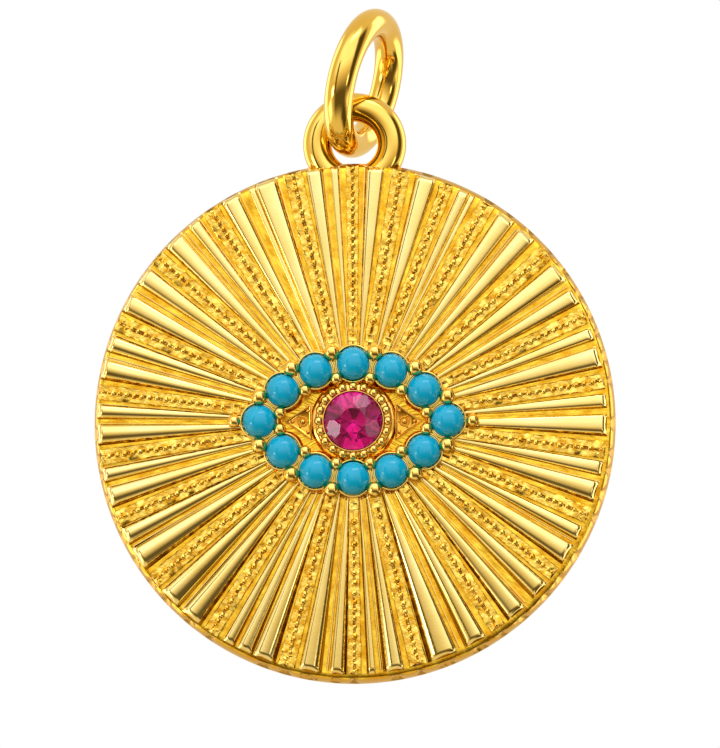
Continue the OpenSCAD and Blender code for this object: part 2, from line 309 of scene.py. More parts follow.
def goldFinish(name, look):
    # gold-plated brass under a clear lacquer: a warm mirror, a little uneven where the casting shows through
    finish, tree = newFinish(name)
    place = addNode(tree, "TexCoord").outputs["Object"]
    spot = alongRays(tree, place, look) if "streak" in look else place
    cloud = addNode(tree, "TexNoise", {"Scale": perMetre(look["cloudMm"]), "Detail": 3}, {"Vector": spot})
    wave = addNode(tree, "TexNoise", {"Scale": perMetre(look["waveMm"]), "Detail": 2}, {"Vector": spot})
    grain = addNode(tree, "TexNoise", {"Scale": perMetre(look["grainMm"]), "Detail": 4}, {"Vector": place})
    patch = addNode(tree, "MapRange",
                    {"From Min": 0.5 - look["cloudSoft"], "From Max": 0.5 + look["cloudSoft"]},
                    {"Value": cloud})
    tint = addNode(tree, "Mix", {"data_type": "RGBA", 6: hexColour(look["deep"]), 7: hexColour(look["pale"])},
                   {0: patch})
    colour = tint.outputs[2]
    wavy = {"Height": wave}
    if "low" in look:
        # below a given height the colour turns to the low colour: in the bead channels and the setting this is painted
        # shade, on the disc a plainer gold for its edge and back
        depth = addNode(tree, "SeparateXYZ", links={0: place})
        fall = addNode(tree, "MapRange",
                       {"From Min": atHeight(look["lowFrom"]), "From Max": atHeight(look["lowTo"])},
                       {"Value": depth.outputs[1]})
        # how much of the painted shade stays changes from place to place where the look is uneven
        shadeLift = addNode(tree, "MapRange",
                       {"From Min": lacquer["shadeLiftFrom"], "From Max": lacquer["shadeLiftTo"], "To Max": look["uneven"]},
                       {"Value": cloud})
        unshaded = addNode(tree, "Math", {"operation": "MAXIMUM"}, {0: fall, 1: shadeLift})
        mix = addNode(tree, "Mix", {"data_type": "RGBA", 6: hexColour(look["low"])}, {0: unshaded, 7: colour})
        colour = mix.outputs[2]
        # and the cast skin's waves stop there as well
        wavy["Strength"] = fall
    dull = addNode(tree, "MapRange",
                   {"From Min": lacquer["dullFrom"], "From Max": lacquer["dullTo"],
                    "To Min": look["roughness"][0], "To Max": look["roughness"][1]}, {"Value": grain})
    waves = addNode(tree, "Bump", {"Strength": 1, "Distance": look["waveDepthMm"] * mm}, wavy)
    grains = addNode(tree, "Bump", {"Strength": 1, "Distance": look["grainDepthMm"] * mm},
                     {"Height": grain, "Normal": waves})
    shader = addNode(tree, "BsdfPrincipled",
                     {"Metallic": 1, "Coat Weight": look["coat"], "Coat Roughness": lacquer["roughness"]},
                     {"Base Color": colour, "Roughness": dull, "Normal": grains})
    addNode(tree, "OutputMaterial", links={"Surface": shader})
    return finish


def cloudedColour(tree, place, look):
    # two close colours in soft clouds
    cloud = addNode(tree, "TexNoise", {"Scale": perMetre(look["cloudMm"]), "Detail": look["detail"]},
                    {"Vector": place})
    tint = addNode(tree, "Mix", {"data_type": "RGBA", 6: hexColour(look["deep"]), 7: hexColour(look["pale"])},
                   {0: cloud})
    return tint.outputs[2]


turquoiseLook = {
    "deep": "#00A8CE", "pale": "#04B8DE", "cloudMm": 0.5, "detail": 4, "roughness": 0.13, "ior": 1.61,
    "specular": 0.32, "pitMm": 0.06, "pitStrength": 0.5, "pitDepthMm": 0.0008,
}


def turquoiseFinish():
    # pressed turquoise, domed and buffed: even sky blue with a waxy shine and faint clouding
    look = turquoiseLook
    finish, tree = newFinish("buffedTurquoise")
    place = addNode(tree, "TexCoord").outputs["Object"]
    pits = addNode(tree, "TexNoise", {"Scale": perMetre(look["pitMm"]), "Detail": 2}, {"Vector": place})
    bump = addNode(tree, "Bump", {"Strength": look["pitStrength"], "Distance": look["pitDepthMm"] * mm},
                   {"Height": pits})
    shader = addNode(tree, "BsdfPrincipled",
                     {"Roughness": look["roughness"], "IOR": look["ior"], "Specular IOR Level": look["specular"]},
                     {"Base Color": cloudedColour(tree, place, look), "Normal": bump})
    addNode(tree, "OutputMaterial", links={"Surface": shader})
    return finish


gem = {
    "table": 0.42, "crown": 0.3, "girdle": 0.05, "pavilion": 0.84, "turnDeg": 22.5, "foilBelow": 0.01,
    # in degrees, how much steeper the halves above and below the girdle are, and how much flatter the stars
    "halfSteeper": (6, 1.2), "starFlatter": 10, "halfOff": 0.012, "exact": 0.00002,
}
rubyLow, rubyHigh = lyingBox("ruby")
rubyRadius = (rubyHigh.x - rubyLow.x) / 2
girdleFoot = rubyHigh.z - gem["crown"] - gem["girdle"]
foilFrom = (hang @ Vector((0, 0, girdleFoot - gem["foilBelow"]))).y
rubyLook = {
    "deep": "#6E1846", "bright": "#FA72D0", "foil": "#FCC0E4", "foilRough": 0.02, "ior": 1.77,
    "polish": 0.01, "shine": (0.01, 0.05),          # how much the table and the crown mirror
    # painted light play: how bright each sixteenth of the stone is painted, from the left through the bottom and the
    # right to the top
    "table": (0.55, 0.85, 0.95, 0.9, 1.0, 0.85, 0.95, 0.7, 0.5, 0.4, 0.2, 0.1, 0.05, 0.2, 0.35, 0.5),
    "crown": (0.8, 0.6, 0.3, 0.8, 0.95, 0.45, 0.3, 0.6, 0.25, 0.25, 0.5, 0.8, 0.75, 0.85, 0.55, 0.15),
}


def shadeRing(tree, around, shades):
    # one grey step for every part of the circle
    ramp = addNode(tree, "ValToRGB", links={0: around})
    ramp.color_ramp.interpolation = "CONSTANT"
    steps = ramp.color_ramp.elements
    while len(steps) < len(shades):
        steps.new(1)
    for i, shade in enumerate(shades):
        steps[i].position = i / len(shades)
        steps[i].color = (shade, shade, shade, 1)
    return ramp


def rubyFinish():
    # a cut and polished red corundum: clear magenta red, foil-backed below the girdle, and each sixteenth of it
    # painted lighter or darker, a painted play of facet reflections as in a turned brilliant
    look = rubyLook
    finish, tree = newFinish("polishedRuby")
    place = addNode(tree, "TexCoord").outputs["Object"]
    axes = addNode(tree, "SeparateXYZ", links={0: place})
    across = addNode(tree, "Math", {"operation": "SUBTRACT", 1: discFoot.x}, {0: axes})
    up = addNode(tree, "Math", {"operation": "SUBTRACT", 1: discFoot.z}, {0: axes.outputs[2]})
    turn = addNode(tree, "Math", {"operation": "ARCTAN2"}, {0: up, 1: across})
    around = addNode(tree, "MapRange", {"From Min": -math.pi, "From Max": math.pi}, {"Value": turn})
    flat = addNode(tree, "CombineXYZ", links={0: across, 1: up})
    radius = addNode(tree, "VectorMath", {"operation": "LENGTH"}, {0: flat})
    onCrown = addNode(tree, "Math", {"operation": "GREATER_THAN", 1: gem["table"] * mm}, {0: radius.outputs["Value"]})
    # the painted facet reflections: each sixteenth of the table and of the crown gets its own brightness
    shade = addNode(tree, "Mix", {"data_type": "RGBA"},
                    {0: onCrown, 6: shadeRing(tree, around, look["table"]),
                     7: shadeRing(tree, around, look["crown"])})
    tint = addNode(tree, "Mix", {"data_type": "RGBA", 6: hexColour(look["deep"]), 7: hexColour(look["bright"])},
                   {0: shade.outputs[2]})
    # the foil begins just behind the girdle, seen from the front
    foil = addNode(tree, "Math", {"operation": "GREATER_THAN", 1: foilFrom}, {0: axes.outputs[1]})
    deepLight = addNode(tree, "BsdfRefraction", {"Roughness": 0, "IOR": look["ior"]}, {"Color": tint.outputs[2]})
    polish = addNode(tree, "BsdfGlossy", {"Roughness": look["polish"]})
    shine = addNode(tree, "MapRange", {"To Min": look["shine"][0], "To Max": look["shine"][1]},
                    {"Value": onCrown})
    clear = addNode(tree, "MixShader", links={0: shine, 1: deepLight, 2: polish})
    backing = addNode(tree, "BsdfPrincipled",
                      {"Roughness": look["foilRough"], "Metallic": 1, "Base Color": hexColour(look["foil"])})
    shader = addNode(tree, "MixShader", links={0: foil, 1: clear, 2: backing})
    addNode(tree, "OutputMaterial", links={"Surface": shader})
    return finish


creviceShadeLook = {"deep": "#A07A1A", "pale": "#DDB342", "cloudMm": 0.7, "detail": 3, "roughness": 0.32}


def creviceShadeFinish():
    # painted shade: the slope where a rib meets its groove, darker and half dull, stands in for the dark reflection
    # along the rib's down-facing side
    look = creviceShadeLook
    finish, tree = newFinish("paintedCreviceShade")
    place = addNode(tree, "TexCoord").outputs["Object"]
    shader = addNode(tree, "BsdfPrincipled", {"Metallic": 1, "Roughness": look["roughness"]},
                     {"Base Color": cloudedColour(tree, place, look)})
    addNode(tree, "OutputMaterial", links={"Surface": shader})
    return finish


polished = goldFinish("polishedGoldPlate", goldPlate)
wired = goldFinish("drawnGoldWire", wireGold)
recessed = goldFinish("castGoldRecessShade", recessGold)
beaded = goldFinish("beadedGoldPlate", beadedGold)
setting = goldFinish("stoneSettingGold", settingGold)
creviceShade = creviceShadeFinish()
turquoiseStone = turquoiseFinish()
rubyStone = rubyFinish()
print("finishes made")

# The eye's places

stoneGap = 0.03          # from a stone to the metal round it
stones = ["turquoise_%02d" % number for number in range(1, 13)]
stoneBoxes = {name: lyingBox(name) for name in stones}
stonePlaces = {name: (low + high) / 2 for name, (low, high) in stoneBoxes.items()}
stoneRadius = (stoneBoxes["turquoise_01"][1].x - stoneBoxes["turquoise_01"][0].x) / 2
# the eyelid's arc runs through the left corner, the top and the right corner stone
halfLid = (stonePlaces["turquoise_07"].x - stonePlaces["turquoise_01"].x) / 2
lidTop = stonePlaces["turquoise_04"].y
lidRadius = (halfLid ** 2 + lidTop ** 2) / (2 * lidTop)
lidDrop = lidRadius - lidTop
lidStepDeg = math.degrees(math.asin(halfLid / lidRadius)) / 3


def lidPoint(deg, off, side):
    # a point of the upper or lower lid, this far outside its middle line
    turn = math.radians(deg)
    reach = lidRadius + off
    return Vector((reach * math.sin(turn), side * (reach * math.cos(turn) - lidDrop), 0))


def insideEye(x, y, off):
    # whether a point lies within the almond grown by this much
    return max(math.hypot(x, y + lidDrop), math.hypot(x, y - lidDrop)) < lidRadius + off


# Disc

# The sunburst, clockwise from the top, in degrees at the rim: a beaded strip, then two or three ribs.
#    strip at, wide, then rib at, wide
rayGroups = [
    (359.7, 3.0, 4.6, 4.0),
    (10.7, 4.0, 16.3, 4.4),
    (21.6, 3.0, 25.5, 2.3, 27.7, 1.2),
    (31.6, 3.8, 36.8, 3.9, 42.8, 4.0),
    (48.8, 3.9, 54.0, 4.5, 60.5, 3.5),
    (65.6, 3.6, 69.9, 2.7, 75.3, 4.5),
    (81.0, 3.5, 85.4, 2.9, 90.9, 4.5),
    (96.8, 3.8, 100.9, 3.0, 106.3, 4.4),
    (112.1, 3.6, 116.5, 3.0, 121.9, 4.4),
    (127.5, 3.5, 132.3, 4.1, 139.7, 4.4),
    (145.2, 3.6, 151.0, 4.6, 159.1, 6.0),
    (165.1, 4.1, 170.7, 4.1, 175.9, 1.8),
    (179.8, 3.2, 183.6, 3.2, 190.0, 4.4),
    (195.4, 3.9, 200.8, 4.5, 205.5, 3.3, 209.5, 2.5),
    (214.1, 3.7, 219.8, 4.7, 226.2, 4.7),
    (231.5, 3.8, 237.6, 5.0, 243.5, 3.8),
    (247.7, 3.7, 253.0, 4.3, 258.1, 3.0),
    (262.1, 3.6, 267.4, 4.4, 272.6, 3.1),
    (276.9, 3.5, 282.3, 4.4, 288.2, 3.7),
    (292.9, 3.9, 298.0, 4.2, 305.0, 4.2),
    (310.0, 3.8, 315.4, 4.5, 321.3, 2.9),
    (326.0, 4.1, 331.3, 4.4, 336.5, 1.5, 340.0, 5.0),
    (346.2, 4.3, 351.3, 3.6, 355.8, 1.8),
]


def underRay(place, more):
    # whether a point of the disc lies under a rib or strip that is widened by this many degrees on each side
    at = math.degrees(math.atan2(place.x, place.y)) % 360
    return any(abs((at - middle + 180) % 360 - 180) < wide / 2 + more
               for group in rayGroups for middle, wide in zip(group[0::2], group[1::2]))


def makeDisc():
    s = discSizes
    thick = s["thick"]
    corner = discRadius - s["bulge"]
    edgeRound = (thick ** 2 / 4 + s["bulge"] ** 2) / (2 * s["bulge"])
    reach = math.degrees(math.asin((thick / 2 - s["cornerRound"]) / edgeRound))
    edge = arcPoints((discRadius - edgeRound, thick / 2), edgeRound, -reach, reach, s["bulgeSteps"])
    floorOuter = corner - s["cornerRound"]
    back = [(discRadius * share, 0) for share in s["backRings"]] + [(floorOuter, 0)]
    rings = s["floorRings"]
    floor = [(floorOuter + (s["floorFrom"] - floorOuter) * i / rings, thick) for i in range(rings + 1)]
    seat = [(s["seatRadius"] + s["seatLip"], thick), (s["seatRadius"], thick), (s["seatFlat"], s["seatBottom"]),
            (0, s["seatBottom"])]
    piece = spunChain("sunburst_disc", back + edge + floor + seat, s["turns"])
    # the groove floors keep the waviness of the cast skin
    group = piece.vertex_groups.new(name="grooveFloor")
    onFloor = [v.index for v in piece.data.vertices
               if abs(v.co.z - thick) < tiny and s["floorFrom"] < v.co.xy.length < floorOuter - s["floorMargin"]]
    group.add(onFloor, 1, "REPLACE")
    skin = bpy.data.textures.new("castSkin", "CLOUDS")
    skin.noise_scale = s["waveMm"]
    skin.noise_depth = 2
    choose(piece)
    bpy.ops.object.modifier_add(type="DISPLACE")
    wave = piece.modifiers[-1]
    wave.texture = skin
    wave.direction = "Z"
    wave.vertex_group = "grooveFloor"
    wave.mid_level = 0.5
    wave.strength = s["waveDepthMm"]
    bpy.ops.object.modifier_apply(modifier=wave.name)
    piece.vertex_groups.clear()
    # the edge is dented under the rays
    pickVerts(piece, lambda v: v.xy.length > corner and s["dentFrom"] < v.z < s["dentTo"]
              and underRay(v, -s["dentInDeg"]))
    dented = 1 - s["dentDeep"] / discRadius
    bpy.ops.transform.resize(value=(dented, dented, 1))
    bpy.ops.object.mode_set(mode="OBJECT")
    # the disc's gold carries painted shade on its groove floors
    settle(piece, hang, "pendant", recessed, ["medallion"])

# Sunburst

# Ribs, strips and ridges are drawn as unit bars from the eye to the rim, where a unit is as wide as this many degrees.
rays = {
    "end": 8.78, "start": 1.975, "unitDeg": 4.0, "fanShift": 0.35, "endShift": 0.11, "endShiftAt": 320,
    "crossingStep": 0.02,
}
unitHalf = rays["end"] * math.sin(math.radians(rays["unitDeg"] / 2))


def rayAim(at):
    # the turn and the length of a ray, which runs from a source a little off the centre to the rim;
    # towards the upper left the rays reach a little further out
    turn = math.radians(at)
    further = rays["endShift"] * math.cos(math.radians(at - rays["endShiftAt"]))
    run = Vector(((rays["end"] - rays["fanShift"]) * math.sin(turn), rays["end"] * math.cos(turn), 0))
    source = Vector((rays["fanShift"] * math.sin(turn), 0, 0))
    return Matrix.Translation(source) @ Matrix.Rotation(-math.atan2(run.x, run.y), 4, "Z"), run.length + further


def lidCrossing(aim, off):
    # how far out along a ray the almond, grown by this much, ends
    at = rays["start"]
    while insideEye(*(aim @ Vector((0, at, 0))).xy, off):
        at += rays["crossingStep"]
    return at


def drawBar(name, section, innerShare, innerTall):
    # the outline of the outer end is extruded inwards, and its inner end drawn in to a taper
    end, start = rays["end"], rays["start"]
    piece = drawChain(name, section)
    bpy.ops.mesh.select_all(action="SELECT")
    bpy.ops.mesh.edge_face_add()
    bpy.ops.mesh.extrude_region_move(TRANSFORM_OT_translate={"value": (0, start - end, 0)})
    bpy.ops.transform.resize(value=(innerShare, 1, innerTall), center_override=(0, start, 0))
    bpy.ops.mesh.select_all(action="SELECT")
    bpy.ops.mesh.normals_make_consistent(inside=False)
    bpy.ops.object.mode_set(mode="OBJECT")
    return piece


def barOn(master, aim, length, place):
    # a ray's own copy of a unit bar, cut off at the almond's middle line, where the lid band covers its end
    bar = copyOf(master, Matrix())
    cutAt = lidCrossing(aim, 0) * rays["end"] / length
    if cutAt > rays["start"]:
        cutAway(bar, (0, cutAt, 0), (0, 1, 0))
        bpy.ops.object.mode_set(mode="OBJECT")
    bar.data.transform(place)
    return bar


ribs = {
    "tall": 0.3, "lean": 0.1, "foot": 0.014, "swell": 1.08, "inner": (0.04, 0.14), "steps": 18,
    "endRound": 0.14, "endSteps": 5, "shear": 0.28, "rollDeg": 4,
    # how full the crowns are, the highest where they are flattest
    "kinds": {"roundRib": 2.1, "fullRib": 2.6, "flatRib": 3.2}, "middleFull": 2.6, "fullSwing": 0.7, "flattestAt": 40,
}
# the painted shade lines along the ribs' down-facing sides
crevices = {
    "under": 0.02, "wide": (0.045, 0.055, 0.07), "tall": (0.055, 0.08, 0.1), "innerTall": 0.3,
    # shares of the width and the height, from the rib down to the groove
    "slope": ((0, 1), (0.4, 0.7), (1, 0.2)),
}


def makeRib(name, fullness):
    # a bar of unit width and height, whose crown is fuller the flatter its top
    s = ribs
    end, foot, half = rays["end"], s["foot"], unitHalf * s["swell"]
    section = [(-half - foot, end, -sunk), (-half - foot, end, foot)]
    for i in range(s["steps"] + 1):
        turn = math.pi * (1 - i / s["steps"])
        across = math.copysign(abs(math.cos(turn)) ** (2 / fullness), math.cos(turn))
        up = math.sin(turn) ** (2 / fullness) if 0 < i < s["steps"] else 0
        section.append((half * across, end - s["lean"] * up, foot + (s["tall"] - foot) * up))
    section += [(half + foot, end, foot), (half + foot, end, -sunk)]
    piece = drawBar(name, section, *s["inner"])
    atEnd = end - s["lean"] - tiny
    pickEdges(piece, lambda a, b: min(a.y, b.y) > atEnd and min(a.z, b.z) > foot - tiny
              and max(abs(a.x), abs(b.x)) < half + tiny)
    bpy.ops.mesh.bevel(offset=s["endRound"], segments=s["endSteps"], affect="EDGES")
    bpy.ops.object.mode_set(mode="OBJECT")
    return piece


def makeCreviceShade(wide, tall):
    # beside the unit rib: the slope at its foot, which carries the painted shade line
    s = crevices
    near = unitHalf * ribs["swell"] - s["under"]
    profile = [(0, -sunk)] + [(out * wide, up * tall) for out, up in s["slope"]] + [(wide, -sunk)]
    section = [(near + out, rays["end"], up) for out, up in profile]
    return drawBar("crevice", section, ribs["inner"][0], s["innerTall"])


def makeRibs():
    s = ribs
    kinds = [(fullness, makeRib(name, fullness)) for name, fullness in s["kinds"].items()]
    slopes = [makeCreviceShade(wide, tall) for wide, tall in zip(crevices["wide"], crevices["tall"])]
    bars, lines = [], []
    for group in rayGroups:
        for at, wide in zip(group[2::2], group[3::2]):
            aim, length = rayAim(at)
            right, top = math.sin(math.radians(at)), math.cos(math.radians(at))
            share, stretch = wide / rays["unitDeg"], length / rays["end"]
            # upper right ribs have the flattest crowns, lower left ones the roundest
            want = s["middleFull"] + s["fullSwing"] * math.cos(math.radians(at - s["flattestAt"]))
            master = min(kinds, key=lambda kind: abs(kind[0] - want))[1]
            # the crowns lean away from the disc's upright middle line, most near its top and foot
            shear = Matrix.Identity(4)
            shear[0][2] = math.copysign(s["shear"], right) * top ** 3
            size = Matrix.Diagonal((share, stretch, min(1, share), 1))
            # each rib lies a little differently, so no two shine alike
            roll = Matrix.Rotation(math.radians(rng.uniform(-s["rollDeg"], s["rollDeg"])), 4, "Y")
            bars.append(barOn(master, aim, length, aim @ roll @ size @ shear))
            # its painted shade line lies on the side that faces down, narrow at the top of the disc and broad at its
            # foot
            slope = slopes[round((1 - top) * (len(slopes) - 1) / 2)]
            beside = Matrix.Diagonal((math.copysign(share, right), stretch, 1, 1))
            lines.append(barOn(slope, aim, length, aim @ beside))
    discard(*slopes, *[kind[1] for kind in kinds])
    shade = joined("rib_crevice_shades", lines)
    editAll(shade)
    closeUp()
    settleGold(shade, creviceShade)
    settleGold(joined("sunburst_ribs", bars), polished)


strips = {
    "tall": 0.17, "edge": 0.03, "channel": 0.065, "channelDeep": 0.08, "notch": 0.1, "inner": 0.62, "rings": 56,
    "rough": 0.02, "roughEven": 0.2, "seeds": (1, 2, 3), "orderFrom": (7, -2, 3),
}


def makeStrip(seed):
    # a flat unit bar with a shallow channel for the beads and a rough, cast skin
    s = strips
    end, start, tall, channel = rays["end"], rays["start"], s["tall"], s["channel"]
    profile = mirrored([(channel - s["edge"], tall - s["channelDeep"]), (channel, tall),
                        (unitHalf - s["edge"], tall), (unitHalf, tall - s["edge"]), (unitHalf, -sunk)])
    section = [(x, end - s["notch"] * (1 - abs(x) / unitHalf), z) for x, z in profile]
    piece = drawBar("strip%d" % seed, section, s["inner"], 1)
    bpy.ops.object.mode_set(mode="EDIT")
    for i in range(1, s["rings"]):
        bpy.ops.mesh.select_all(action="SELECT")
        ringAt = start + (end - s["notch"] - start) * i / s["rings"]
        bpy.ops.mesh.bisect(plane_co=(0, ringAt, 0), plane_no=(0, 1, 0), threshold=tiny)
    bpy.ops.mesh.select_all(action="SELECT")
    # the random pushes follow the order of the vertices, which is first set by their distance from a point off
    # to one side, so that every run gives the same strip
    bpy.context.scene.cursor.location = s["orderFrom"]
    bpy.ops.mesh.sort_elements(type="CURSOR_DISTANCE", elements={"VERT"})
    bpy.context.scene.cursor.location = (0, 0, 0)
    bpy.ops.transform.vertex_random(offset=s["rough"], uniform=s["roughEven"], seed=seed)
    bpy.ops.object.mode_set(mode="OBJECT")
    return piece


def makeStrips():
    kinds = [makeStrip(seed) for seed in strips["seeds"]]
    bars = []
    for row, group in enumerate(rayGroups):
        aim, length = rayAim(group[0])
        size = Matrix.Diagonal((group[1] / rays["unitDeg"], length / rays["end"], 1, 1))
        bars.append(barOn(kinds[row % len(kinds)], aim, length, aim @ size))
    discard(*kinds)
    settleGold(joined("bead_strips", bars), beaded, 30)


ridges = {
    "at": (40.2, 57.8, 73.0, 104.0, 118.8, 136.7, 154.9, 173.7, 186.0, 222.5, 240.6, 285.0, 301.3, 318.6),
    "wide": 0.09, "tall": 0.1, "shoulder": 0.3, "endIn": 0.1, "inner": (0.4, 0.5),
}


def makeRidges():
    s = ridges
    half, tall = s["wide"] / 2, s["tall"]
    profile = mirrored([(s["shoulder"] * half, tall), (half, s["shoulder"] * tall), (half, -sunk)])
    master = drawBar("ridge", [(x, rays["end"] - s["endIn"], z) for x, z in profile], *s["inner"])
    bars = []
    for at in s["at"]:
        aim, length = rayAim(at)
        bars.append(barOn(master, aim, length, aim @ Matrix.Diagonal((1, length / rays["end"], 1, 1))))
    discard(master)
    settleGold(joined("groove_ridges", bars), polished)


makeDisc()
print("disc made")
makeRibs()
makeStrips()
makeRidges()
print("ribs, strips and ridges made")

# Eye

lidBand = {"tall": 0.3, "half": 0.32, "round": 0.06, "wallLean": 0.07, "outlineSteps": 28}


def lidLoop(name, off, up):
    # the almond's outline grown by this much, drawn once round at this height
    span = math.degrees(math.acos(lidDrop / (lidRadius + off)))
    steps = lidBand["outlineSteps"]
    upper = [lidPoint(-span + 2 * span * i / steps, off, 1) for i in range(steps)]
    lower = [lidPoint(span - 2 * span * i / steps, off, -1) for i in range(steps)]
    piece = drawChain(name, [(p.x, p.y, up) for p in upper + lower])
    bpy.ops.mesh.select_all(action="SELECT")
    bpy.ops.mesh.edge_face_add()
    bpy.ops.mesh.delete(type="ONLY_FACE")
    bpy.ops.object.mode_set(mode="OBJECT")
    return piece


def makeEyeBase():
    # the almond's band: its outer and inner outlines stand up from the disc and are closed above and below
    s = lidBand
    outside = lidLoop("outside", s["half"], -sunk)
    editAll(outside)
    bpy.ops.mesh.select_mode(type="EDGE")
    bpy.ops.mesh.extrude_region_move(TRANSFORM_OT_translate={"value": (0, 0, s["tall"] + sunk)})
    bpy.ops.object.mode_set(mode="OBJECT")
    hollow = lidLoop("hollow", -s["half"], s["tall"])
    foot = lidLoop("foot", -s["half"] - s["wallLean"], -sunk)
    piece = joined("eye_base", [outside, hollow, foot])
    # the top, the wall of the hollow, and the foot
    top = s["tall"] - tiny
    pickEdges(piece, lambda a, b: a.z > top and b.z > top)
    bpy.ops.mesh.bridge_edge_loops()
    pickEdges(piece, lambda a, b: insideEye(a.x, a.y, 0) and insideEye(b.x, b.y, 0) and abs(a.z - b.z) < tiny)
    bpy.ops.mesh.bridge_edge_loops()
    pickEdges(piece, lambda a, b: a.z < 0 and b.z < 0)
    bpy.ops.mesh.fill()
    closeUp()
    pickEdges(piece, lambda a, b: a.z > top and b.z > top and insideEye(a.x, a.y, 0) == insideEye(b.x, b.y, 0))
    bpy.ops.mesh.bevel(offset=s["round"], segments=3, affect="EDGES")
    bpy.ops.object.mode_set(mode="OBJECT")
    settleGold(piece, setting, 50)


collet = {"wall": 0.068, "tall": 0.42, "lipSteps": 6, "skirt": 0.1, "skirtStretch": 1.6, "skirtSteps": 5, "turns": 48}
colletRadius = stoneRadius + stoneGap + collet["wall"]


def makeCollets():
    # a thin upright lip that widens into a skirt at its foot
    s = collet
    inner, outer, wide = stoneRadius + stoneGap, colletRadius, s["skirt"]
    half = (outer - inner) / 2
    lip = arcPoints(((inner + outer) / 2, s["tall"] - half), half, 180, 0, s["lipSteps"])
    skirt = arcPoints((outer + wide, wide), wide, 180, 270, s["skirtSteps"])
    skirt = [(r, s["skirtStretch"] * h) for r, h in skirt] + [(outer + wide, -sunk)]
    master = spunChain("collet", [(inner, -sunk), (inner, sunk)] + lip + skirt + [(inner, -sunk)], s["turns"])
    parts = [copyOf(master, Matrix.Translation((p.x, p.y, 0))) for p in stonePlaces.values()]
    discard(master)
    settleGold(joined("stone_collets", parts), setting, 60)


prongs = {
    "outer": 0.56, "inner": 0.44, "tip": 0.45, "outerOff": 0.45, "innerOff": 0.46, "tipIn": 0.03,
    "tall": 0.44, "ballToDeg": -42, "ballSteps": 10, "turns": 24,
    # down the post: its radius as a share of the ball's, and the height as a share of the prong's
    "post": ((0.66, 0.5), (0.7, 0.3), (0.78, 0.12), (0.9, 0)),
}


def makeProng(size):
    # a ball on a slim post that widens a little towards its foot, drawn from the top down
    s = prongs
    radius, tall = size / 2, s["tall"]
    ball = arcPoints((0, tall), radius, 90, s["ballToDeg"], s["ballSteps"])
    ball[0] = (0, tall + radius)
    post = [(wide * radius, up * tall) for wide, up in s["post"]]
    return spunChain("prong%d" % (1000 * size), ball + post + [(post[-1][0], -sunk), (0, -sunk)], s["turns"])


def makeProngs():
    # one on each side of the lid between every two stones, and one past each corner stone
    s = prongs
    masters = {size: makeProng(size) for size in (s["outer"], s["inner"], s["tip"])}
    parts = []
    for side in (-1, 1):
        for i in range(6):
            deg = (i - 2.5) * lidStepDeg
            for size, off in ((s["outer"], s["outerOff"]), (s["inner"], -s["innerOff"])):
                parts.append(copyOf(masters[size], Matrix.Translation(lidPoint(deg, off, side))))
        tipAt = side * (halfLid + colletRadius + s["tip"] / 2 - s["tipIn"])
        parts.append(copyOf(masters[s["tip"]], Matrix.Translation((tipAt, 0, 0))))
    discard(*masters.values())
    settleGold(joined("bead_prongs", parts), setting, 60)


collar = {
    "wall": 0.275, "tall": 0.42, "valley": 0.11, "stepWide": 0.13, "stepTall": 0.22, "turns": 96,
    # its soft corners: how far out and up each point lies from where the sharp corner would be
    "lip": ((0, -0.02), (0.01, 0), (0.03, 0), (0.05, -0.04)), "valleyStart": ((0.08, 0),),
    "shoulder": ((-0.04, 0), (0, -0.04)), "stepStart": ((0.01, 0.03), (0.04, 0)),
    "stepEdge": ((-0.04, -0.005), (-0.005, -0.04)), "foot": ((0.01, 0.16), (0.05, 0.12), (0.07, -sunk)),
}
collarRadius = rubyRadius + stoneGap + collar["wall"]


def makeCollar():
    # a thin lip round the stone, a valley behind it in which the beads stand, and a step at the foot
    s = collar
    inner, outer, low = rubyRadius + stoneGap, collarRadius, collarRadius + s["stepWide"]
    top, valley, step = s["tall"], s["tall"] - s["valley"], s["stepTall"]
    corners = [(inner, top, s["lip"]), (inner, valley, s["valleyStart"]), (outer, valley, s["shoulder"]),
               (outer, step, s["stepStart"]), (low, step, s["stepEdge"]), (low, 0, s["foot"])]
    profile = [(at + out, height + up) for at, height, soft in corners for out, up in soft]
    piece = spunChain("ruby_collar", [(inner, -sunk)] + profile + [(inner, -sunk)], s["turns"])
    settleGold(piece, setting, 50)


milgrain = {"size": 0.31, "count": 20, "ringIn": 0.1, "up": -0.02, "cutShare": 0.6}


def makeMilgrain():
    s = milgrain
    startClean()
    bpy.ops.mesh.primitive_uv_sphere_add(segments=20, ring_count=12, radius=s["size"] / 2, location=(0, 0, 0))
    master = named("milgrainBead")
    cutAway(master, (0, 0, -s["cutShare"] * s["size"] / 2), (0, 0, 1))
    closeUp()
    ringAt = collarRadius - s["ringIn"]
    parts = []
    for i in range(s["count"]):
        turn = 2 * math.pi * i / s["count"]
        spot = (ringAt * math.cos(turn), ringAt * math.sin(turn), collar["tall"] + s["up"])
        parts.append(copyOf(master, Matrix.Translation(spot)))
    discard(master)
    settleGold(joined("milgrain_beads", parts), setting, 60)


def framedPad(name, corners, turnDeg, s):
    # a low pad, sunk inside its frame
    wide, long, tall = s["pad"]
    startClean()
    bpy.ops.mesh.primitive_cylinder_add(vertices=corners, radius=1, depth=tall + sunk,
                                        location=(0, 0, (tall - sunk) / 2), rotation=(0, 0, math.radians(turnDeg)))
    pad = named(name)
    pad.data.transform(Matrix.Diagonal((wide / pad.dimensions.x, long / pad.dimensions.y, 1, 1)))
    pickEdges(pad, lambda a, b: a.z > tall - tiny and b.z > tall - tiny)
    bpy.ops.mesh.bevel(offset=s["padBevel"], segments=3, affect="EDGES")
    bpy.ops.object.mode_set(mode="OBJECT")
    pickVerts(pad, lambda v: v.z > tall - tiny)
    bpy.ops.mesh.select_mode(type="FACE")
    bpy.ops.mesh.inset(thickness=s["padFrame"], depth=-s["padDeep"])
    closeUp()
    return pad


